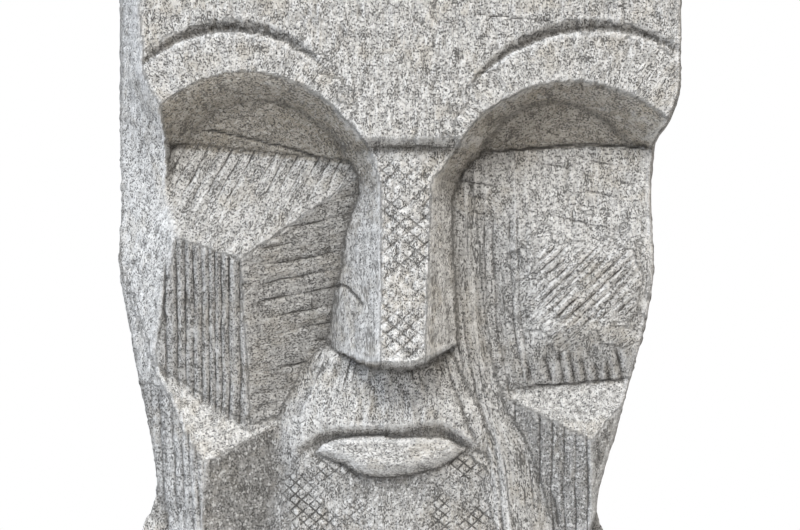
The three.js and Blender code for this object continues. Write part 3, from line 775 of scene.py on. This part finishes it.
def flank_surface(z_rows):
    """The sides and back: half a superellipse at each height from the right front corner round to the
    left one, drawn in towards the back."""
    quarter = np.linspace(0, 1, FLANK_COLUMNS // 2 + 1)
    quarter = np.insert(quarter, 1, quarter[1] / 5)
    even = quarter**EVEN_POWER / (quarter**EVEN_POWER + (1 - quarter) ** EVEN_POWER)
    turn = np.concatenate([even, 2 - even[-2::-1]]) * np.pi / 2
    angle, z = np.meshgrid(turn, z_rows)
    front = -(FACE_PLANE + CORNER_RISE)
    power = 2 / SIDE_SQUARENESS
    back = np.clip(np.sin(angle), 0, 1) ** power
    plain = smoothstep(back, 0, FLANK_EASE)
    right = RIGHT_EDGE(z) * (1 - plain) + RIGHT_FLANK(z) * plain
    left = LEFT_EDGE(z) * (1 - plain) + LEFT_FLANK(z) * plain
    half, middle = (right + left) / 2, (right - left) / 2
    x = middle + half * np.sign(np.cos(angle)) * np.abs(np.cos(angle)) ** power
    inset = top_inset(z)
    y = front + (BACK - front) * back + inset * (1 - 2 * back)
    return np.stack([x * (1 - TAPER * back) * (1 - inset / half), y, z], -1)


def outward(points):
    """Unit normals of a grid of points: across the columns crossed with up the rows."""
    across = np.gradient(points, axis=1)
    up = np.gradient(points, axis=0)
    normal = np.cross(across, up)
    return normal / np.maximum(np.linalg.norm(normal, axis=-1, keepdims=True), 1e-9)


def cavity(rise, reach):
    """How much a place lies below its surroundings: the mean of a square around it less itself."""
    padded = np.pad(rise, reach, mode="edge")
    total = padded.cumsum(0).cumsum(1)
    total = np.pad(total, ((1, 0), (1, 0)))
    side = 2 * reach + 1
    square = total[side:, side:] - total[:-side, side:] - total[side:, :-side] + total[:-side, :-side]
    return square / side**2 - rise


def carved_face(z_rows):
    """The face with every cut in it, each moved along the surface's normal, and the fields that its
    material reads."""
    points, x, z, rise, parts = face_surface(z_rows)
    eyebrow = eyebrow_cut(x, z)
    points[..., 1] += eyebrow
    rise = rise - eyebrow
    height, marks = tool_marks(x, z, parts)
    marks["across"], marks["along"] = grain_run(x, z, rise, parts)
    normal = outward(points)
    # the share facing down: the material paints shade on it
    marks["under"] = np.clip(-normal[..., 2], -1, 1)
    # painted shade in the eyebrow cuts, deepest where the cut is deepest
    marks["sawn_and_shade"] += EYEBROW_SHADE * smoothstep(eyebrow, 0.5, 3)
    height = height + pecking(marks["across"], marks["along"], marks["coarse"])
    column = np.arange(FACE_COLUMNS + 1)
    edge_fade = np.clip(np.minimum(column, column[::-1]) / 3, 0.3, 1)
    # below and above its surroundings: the material paints shade in hollows and light on ridges
    marks["hollow"] = np.clip(cavity(rise + height, CAVITY_REACH) / CAVITY_DEPTH, -1, 1)
    return points + normal * (height * edge_fade)[..., None], marks


def carved_flank(z_rows):
    """The sides and back with slanted rows of the point chisel and a slow swell, and the distances
    round and up them."""
    flank = flank_surface(z_rows)
    run = np.linalg.norm(np.diff(flank, axis=1), axis=-1)
    u = np.concatenate([np.zeros((len(flank), 1)), run.cumsum(1)], 1)
    v = climb(flank[..., 2])
    along, across = turned(u, v, WAY["flank"])
    rows = flutes(across / PITCH["flank"] + 0.5 * noise(u / 90, v / 90, 7))
    rows = DEPTH["flank"] * rows * (0.55 + 0.5 * noise(along / 60, across / PITCH["flank"], 8))
    swell = 6.0 * noise(u / 210, v / 170, 9) + 3.0 * noise(u / 80, v / 70, 10)
    ease = np.clip(np.minimum(u, u[:, -1:] - u) / 60, 0, 1)
    rough = ease * (rows + swell) + 1.4 * pecking(u / 2.4, v / 2.0, 1.0)
    flank = flank + outward(flank) * rough[..., None]
    flank[..., 1] = np.minimum(flank[..., 1], BACK + BACK_SPARE)
    return flank, u, v


def cap_rings(rim):
    """Shrinking rings that close the top: the rim drawn in, raised by the crown's parabola."""
    level = np.mean(rim[:, 2])
    rings = []
    for scale in CAP_SCALES:
        ring = rim * [scale, scale, 1]
        ring[:, 2] = level + CROWN * (1 - scale**2) + (rim[:, 2] - level) * scale
        ring[:, 2] += 3.0 * noise(ring[:, 0] / 60, ring[:, 1] / 60, 11) * (1 - scale)
        ring[:, 2] += 1.6 * noise(ring[:, 0] / 17, ring[:, 1] / 17, 12)
        rings.append(ring)
    return rings


def quads(ids):
    """The faces of a grid of point numbers."""
    a, b = ids[:-1, :-1], ids[:-1, 1:]
    c, d = ids[1:, 1:], ids[1:, :-1]
    return np.stack([a, b, c, d], -1).reshape(-1, 4).tolist()


def seam(edge_ids, flank_ids, flank_is_right):
    """Faces that join each FLANK_STEP rows of the face's edge to one row of the flank."""
    steps = np.arange(0, len(edge_ids) - 1, FLANK_STEP)
    edge = np.stack([edge_ids[steps + k] for k in range(FLANK_STEP + 1)], 1)
    low, high = flank_ids[:-1], flank_ids[1:]
    if flank_is_right:
        return np.column_stack([edge[:, ::-1], low, high]).tolist()
    return np.column_stack([edge, high, low]).tolist()


def fan(first, second, pole):
    """Triangles from the steps of a ring to its pole."""
    return np.column_stack([first, second, np.full(len(first), pole)]).tolist()


def carve():
    """All points of the head, its faces and the fields that its material reads. Shrinking rings close
    the top and a flat fan closes the foot."""
    z_rows = row_heights()
    points, marks = carved_face(z_rows)
    flank, round_flank, up_flank = carved_flank(z_rows[::FLANK_STEP])
    grid = points.reshape(-1, 3)
    inner = flank[:, 1:-1]
    face_id = np.arange(len(grid)).reshape(points.shape[:2])
    inner_id = len(grid) + np.arange(inner.shape[0] * inner.shape[1]).reshape(inner.shape[:2])
    block = np.concatenate([grid, inner.reshape(-1, 3)])
    rim_id = np.concatenate([face_id[-1], inner_id[-1]])
    foot_id = np.concatenate([face_id[0], inner_id[0]])
    block[foot_id, 2] = 0

    rim = block[rim_id]
    caps = cap_rings(rim)
    cap_id = len(block) + np.arange(len(caps) * len(rim)).reshape(len(caps), len(rim))
    poles = np.array([[0, 0, np.mean(rim[:, 2]) + CROWN], [0, 0, 0]])
    everything = np.concatenate([block, *caps, poles])
    rings = np.concatenate([rim_id[None], cap_id])
    rings = np.concatenate([rings, rings[:, :1]], 1)
    top, foot = rings[-1], np.append(foot_id, foot_id[0])
    faces = quads(face_id) + quads(inner_id) + quads(rings)
    faces += seam(face_id[:, -1], inner_id[:, 0], True) + seam(face_id[:, 0], inner_id[:, -1], False)
    faces += fan(top[:-1], top[1:], len(everything) - 2) + fan(foot[1:], foot[:-1], len(everything) - 1)

    fields = {}
    for name, values in marks.items():
        fields[name] = np.full(len(everything), float(ELSEWHERE.get(name, 0)))
        fields[name][: len(grid)] = values.ravel()
    sides, above = slice(len(grid), len(block)), slice(len(block), None)
    fields["across"][sides] = SIDE_GRAIN[0] * round_flank[:, 1:-1].ravel()
    fields["along"][sides] = SIDE_GRAIN[1] * up_flank[:, 1:-1].ravel()
    fields["across"][above], fields["along"][above] = everything[above, :2].T
    return everything, faces, fields


def make_head():
    """The carved head as one mesh in metres, with its fields as point attributes."""
    points, faces, fields = carve()
    mesh = bpy.data.meshes.new("carved_head")
    mesh.from_pydata((points * MM).tolist(), [], faces)
    for name, values in fields.items():
        attribute = mesh.attributes.new(name, "FLOAT", "POINT")
        attribute.data.foreach_set("value", values.astype(np.float32))
    mesh.polygons.foreach_set("use_smooth", np.ones(len(mesh.polygons), bool))
    mesh.validate()
    mesh.update()
    piece = bpy.data.objects.new("carved_head", mesh)
    bpy.context.collection.objects.link(piece)
    return piece


# ---------------------------------------------------------------- shader expressions


class Value:
    """A shader socket in an expression: each operator adds its Math node."""

    def __init__(self, shader, socket):
        self.shader = shader
        self.socket = socket

    def math(self, operation, *others):
        return self.shader.node("ShaderNodeMath", {"operation": operation}, dict(enumerate((self, *others))))

    def __add__(self, other):
        return self.math("ADD", other)

    def __sub__(self, other):
        return self.math("SUBTRACT", other)

    def __mul__(self, other):
        return self.math("MULTIPLY", other)

    def __rsub__(self, other):
        return self.shader.number(other).math("SUBTRACT", self)

    __radd__ = __add__
    __rmul__ = __mul__

    def between(self, low, high):
        """0 at low, 1 at high, eased and clamped."""
        settings = {"interpolation_type": "SMOOTHSTEP", "clamp": True}
        inputs = {"Value": self, "From Min": low, "From Max": high}
        return self.shader.node("ShaderNodeMapRange", settings, inputs)


NOISE_ROUGHNESS = 0.6
MIX_FACTOR, MIX_FIRST, MIX_SECOND, MIX_RESULT = 0, 6, 7, 2  # a Mix node's colour sockets


class Shader:
    """The nodes of one material or of the world, built by calls."""

    def __init__(self, owner):
        owner.use_nodes = True
        self.owner = owner
        self.tree = owner.node_tree
        self.tree.nodes.clear()

    def node(self, kind, settings=None, inputs=None, output=0):
        """Adds a node, makes its settings, then sets or links its inputs; returns one output."""
        made = self.tree.nodes.new(kind)
        for key, value in (settings or {}).items():
            if key == "stops":
                for stop, (position, colour) in zip(made.color_ramp.elements, value):
                    stop.position, stop.color = position, colour
            else:
                setattr(made, key, value)
        for key, value in (inputs or {}).items():
            if isinstance(value, Value):
                self.tree.links.new(value.socket, made.inputs[key])
            else:
                made.inputs[key].default_value = value
        return Value(self, made.outputs[output]) if made.outputs else None

    def number(self, value):
        return self.node("ShaderNodeMath", {"operation": "ADD"}, {0: value, 1: 0.0})

    def field(self, name):
        """A value stored on the mesh."""
        return self.node("ShaderNodeAttribute", {"attribute_name": name}, output="Fac")

    def mix(self, factor, first, second):
        """A colour between two colours."""
        inputs = {MIX_FACTOR: factor, MIX_FIRST: first, MIX_SECOND: second}
        return self.node("ShaderNodeMix", {"data_type": "RGBA"}, inputs, MIX_RESULT)

    def place(self):
        """Object coordinates."""
        return self.node("ShaderNodeTexCoord", output="Object")

    def grains(self, scale):
        """One random value from 0 to 1 for each crystal of a Voronoi pattern."""
        inputs = {"Vector": self.place(), "Scale": scale, "Randomness": 1.0}
        cells = self.node("ShaderNodeTexVoronoi", {"feature": "F1"}, inputs, "Color")
        return self.node("ShaderNodeSeparateColor", {}, {"Color": cells}, "Red")

    def brushed(self, across, along, detail=2.0):
        """Noise from 0 to 1 whose grains follow the chisel's run; across and along are their sizes in mm."""
        run = {"X": self.field("across") * (1 / across), "Y": self.field("along") * (1 / along)}
        place = self.node("ShaderNodeCombineXYZ", {}, run)
        inputs = {"Vector": place, "Scale": 1.0, "Detail": detail, "Roughness": NOISE_ROUGHNESS}
        return self.node("ShaderNodeTexNoise", {"noise_dimensions": "2D"}, inputs)

    def cloud(self, scale, detail):
        """Noise from 0 to 1 about 0.5."""
        inputs = {"Vector": self.place(), "Scale": scale, "Detail": detail, "Roughness": NOISE_ROUGHNESS}
        return self.node("ShaderNodeTexNoise", {"noise_dimensions": "3D"}, inputs)

    def finished(self, inputs):
        """Closes a material with its surface and returns it."""
        surface = self.node("ShaderNodeBsdfPrincipled", {}, inputs)
        self.node("ShaderNodeOutputMaterial", {}, {"Surface": surface})
        return self.owner


def grey(level, warmth=0.0):
    """A stone grey: warmth moves it towards yellow."""
    return (level * (1 + warmth), level, level * (1 - 1.6 * warmth), 1.0)


QUARTZ, FELDSPAR, MICA = grey(0.43, 0.015), grey(0.72, 0.015), grey(0.05)
RUSTY, BRUISED, DULL = grey(0.5, 0.09), grey(0.84, 0.01), grey(0.3, 0.02)
# the dark sawn stone also serves as painted shade and the fresh stone as painted light; the next line paints
# shade on undersides and in the eye sockets; then painted shadow in pits, painted shade in hollows, painted
# light on ridges, and the dark of cuts
SAWN_STONE_AND_SHADE, FRESH_STONE_AND_LIGHT, SAWN_CRYSTAL = grey(0.15, 0.01), grey(0.95), grey(0.74)
SHADED, UNDERSIDE_SHADE, WARM_SOCKET_SHADE = grey(0.2, 0.03), grey(0.2, 0.12), grey(0.27, 0.22)
PIT_SHADOW, CAVITY_SHADE, RIDGE_LIGHT, CUT = grey(0.085, 0.03), grey(0.14, 0.05), grey(0.85), grey(0.075, 0.04)
BUMP_HEIGHT = 0.0034  # metres


def granite():
    """Pale grey granite: pale feldspar, grey quartz and small dark mica, pits and pecks that hold
    shadow as painted shadow, thin dark tool cuts, painted shade in hollows and painted light on
    ridges, painted warm shade on what faces down and in the eye sockets, and facets painted darker
    or lighter, partly for their sawn or bruised tone and partly as painted shade and light."""
    s = Shader(bpy.data.materials.new("granite"))
    crystal = s.grains(330)
    fine = s.grains(560)
    broad = s.cloud(16, 3)
    pecks = s.brushed(3.2, 8.0, 2.5)
    strokes = s.brushed(6.5, 26.0)
    flecks = s.brushed(2.2, 3.6, 1.0)
    cluster = s.brushed(15.0, 26.0)
    coarse = s.field("coarse")
    hollow = s.field("hollow")
    under = s.field("under")
    sawn_and_shade = s.field("sawn_and_shade")
    darkened = sawn_and_shade.math("MAXIMUM", 0.0)

    stone = s.mix(crystal.between(0.1, 0.9), QUARTZ, FELDSPAR)
    stone = s.mix(broad.between(0.5, 0.62) * 0.45, stone, RUSTY)
    stone = s.mix(strokes.between(0.52, 0.66) * 0.55, stone, BRUISED)
    stone = s.mix(strokes.between(0.46, 0.32) * 0.35, stone, DULL)
    # painted shade with the darker tone of sawn stone: facets turned from the light, the sockets, the eyebrow
    # cuts and the stone below the lower lip go towards dark stone; below 0 the lit chamfer and ledge get
    # painted light
    stone = s.mix(darkened * 0.44, stone, SAWN_STONE_AND_SHADE)
    stone = s.mix(sawn_and_shade.between(0, -0.5) * 0.3, stone, FRESH_STONE_AND_LIGHT)
    # painted shade on what faces down, warmer where it faces further down
    stone = s.mix(under.between(0.0, 0.3) * 0.18, stone, SHADED)
    stone = s.mix(under.between(0.25, 0.75) * 0.16, stone, UNDERSIDE_SHADE)
    # painted warm shade in the eye sockets
    stone = s.mix(s.field("socket_shade") * 0.36, stone, WARM_SOCKET_SHADE)
    stone = s.mix(crystal.between(0.84, 0.9) * darkened * 0.4, stone, SAWN_CRYSTAL)
    mica = fine.between(0.76, 0.82) * crystal.between(1.0, 0.3) * cluster.between(0.3, 0.55)
    stone = s.mix(mica * 0.85, stone, MICA)
    # painted shadow in the pits
    speck = (flecks + cluster * 0.8).between(0.8, 0.72) * (coarse * 0.4 + 0.6)
    stone = s.mix(speck * 0.85, stone, PIT_SHADOW)
    # painted shade in hollows and painted light on ridges
    stone = s.mix(hollow.between(0.15, 1.0) * 0.45, stone, CAVITY_SHADE)
    stone = s.mix(hollow.between(-0.15, -0.9) * 0.3, stone, RIDGE_LIGHT)

    def off_line(phase):
        """Distance to the nearest cut, as a share of the pitch."""
        return (phase - phase.math("ROUND")).math("ABSOLUTE")

    broken = s.cloud(34, 2).between(0.36, 0.54)
    off_cut = off_line(s.field("cut_phase"))
    cut = (off_cut * s.field("cut_pitch")).between(1.7, 0.4) * s.field("cut") * (broken * 0.6 + 0.4)
    rising = off_line(s.field("rise_phase")).between(0.12, 0.04)
    falling = off_line(s.field("fall_phase")).between(0.12, 0.04)
    hatch = rising.math("MAXIMUM", falling) * s.field("hatch") * broken
    crack = s.field("crack").between(0.3, 0.75)
    cuts = cut.math("MAXIMUM", hatch).math("MAXIMUM", crack)
    stone = s.mix(cuts * 0.8, stone, CUT)

    ridge = (off_cut * 2.0).math("POWER", 0.5) * s.field("fluted")
    relief = pecks * 0.8 + strokes * 0.8 + fine * 0.25 + crystal * 0.15
    relief = relief - speck * 0.7 - cuts * 1.2 + ridge * 1.2
    bumps = {"Strength": 0.8, "Distance": BUMP_HEIGHT, "Height": relief}
    return s.finished(
        {
            "Base Color": stone,
            "Roughness": crystal * 0.12 + 0.82,
            "Normal": s.node("ShaderNodeBump", {}, bumps, "Normal"),
            "IOR": 1.45,
            "Specular IOR Level": 0.25,
        }
    )


# ---------------------------------------------------------------- the stage

WHITE = (1, 1, 1, 1)
DOME_COLOURS = ((0.35, (0.24, 0.205, 0.165, 1)), (0.95, WHITE))
DOME_STRENGTH = 0.6
# each soft sun: azimuth, elevation, strength, spread and colour
SUNS = {
    "key": (-4, 50, 2.4, 30, (1.0, 0.985, 0.95)),
    "cool_side": (-68, 26, 2.1, 50, (0.76, 0.86, 1.0)),
    "warm_side": (58, 30, 0.55, 50, (1.0, 0.88, 0.72)),
}
FLOOR_HALF = 1.5  # metres
CAMERA_DISTANCE, CAMERA_HEIGHT, SEEN_WIDTH, FACE_DEPTH = 7.0, 0.6375, 1.2, -0.255  # metres
SENSOR = 36.0


def make_floor():
    """A plain pale square just larger than the head's foot needs."""
    half = FLOOR_HALF
    mesh = bpy.data.meshes.new("floor")
    corners = [(-half, -half, 0), (half, -half, 0), (half, half, 0), (-half, half, 0)]
    mesh.from_pydata(corners, [], [(0, 1, 2, 3)])
    floor = bpy.data.objects.new("floor", mesh)
    bpy.context.collection.objects.link(floor)
    pale = Shader(bpy.data.materials.new("pale_floor"))
    colour = pale.mix(pale.cloud(3, 2), grey(0.78), grey(0.84))
    mesh.materials.append(pale.finished({"Base Color": colour, "Roughness": 0.9}))


def make_world():
    """A white studio backdrop. What it lends to the stone is brighter overhead and dim from below."""
    world = bpy.data.worlds.new("studio")
    sky = Shader(world)
    way = sky.node("ShaderNodeTexCoord", output="Generated")
    up = sky.node("ShaderNodeSeparateXYZ", {}, {0: way}, "Z")
    share = sky.node("ShaderNodeMapRange", {}, {"Value": up, "From Min": -1, "From Max": 1})
    colour = sky.node("ShaderNodeValToRGB", {"stops": DOME_COLOURS}, {0: share})
    dome = sky.node("ShaderNodeBackground", {}, {"Color": colour, "Strength": DOME_STRENGTH})
    backdrop = sky.node("ShaderNodeBackground", {}, {"Color": WHITE})
    seen = sky.node("ShaderNodeLightPath", output="Is Camera Ray")
    either = sky.node("ShaderNodeMixShader", {}, {0: seen, 1: dome, 2: backdrop})
    sky.node("ShaderNodeOutputWorld", {}, {"Surface": either})
    bpy.context.scene.world = world


def make_sun(name, azimuth, elevation, strength, spread, colour):
    """A soft distant lamp: azimuth from the face's front towards the viewer's right, in degrees."""
    lamp = bpy.data.lights.new(name, "SUN")
    lamp.energy = strength
    lamp.angle = math.radians(spread)
    lamp.color = colour
    holder = bpy.data.objects.new(name, lamp)
    holder.rotation_euler = (math.radians(90 - elevation), 0, math.radians(azimuth))
    bpy.context.collection.objects.link(holder)


def make_camera():
    """Straight in front of the face at its own height, far enough for a calm perspective."""
    camera = bpy.data.objects.new("camera", bpy.data.cameras.new("camera"))
    camera.data.sensor_width = SENSOR
    camera.data.lens = SENSOR * CAMERA_DISTANCE / SEEN_WIDTH
    camera.data.clip_end = 50
    camera.location = (0, FACE_DEPTH - CAMERA_DISTANCE, CAMERA_HEIGHT)
    camera.rotation_euler = (math.radians(90), 0, 0)
    bpy.context.collection.objects.link(camera)
    bpy.context.scene.camera = camera


head = make_head()
head.data.materials.append(granite())
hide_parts("moai_head")
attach(head, "root")

make_floor()
make_world()
for sun_name, sun in SUNS.items():
    make_sun(sun_name, *sun)
make_camera()
bpy.context.scene.view_settings.view_transform = "Standard"
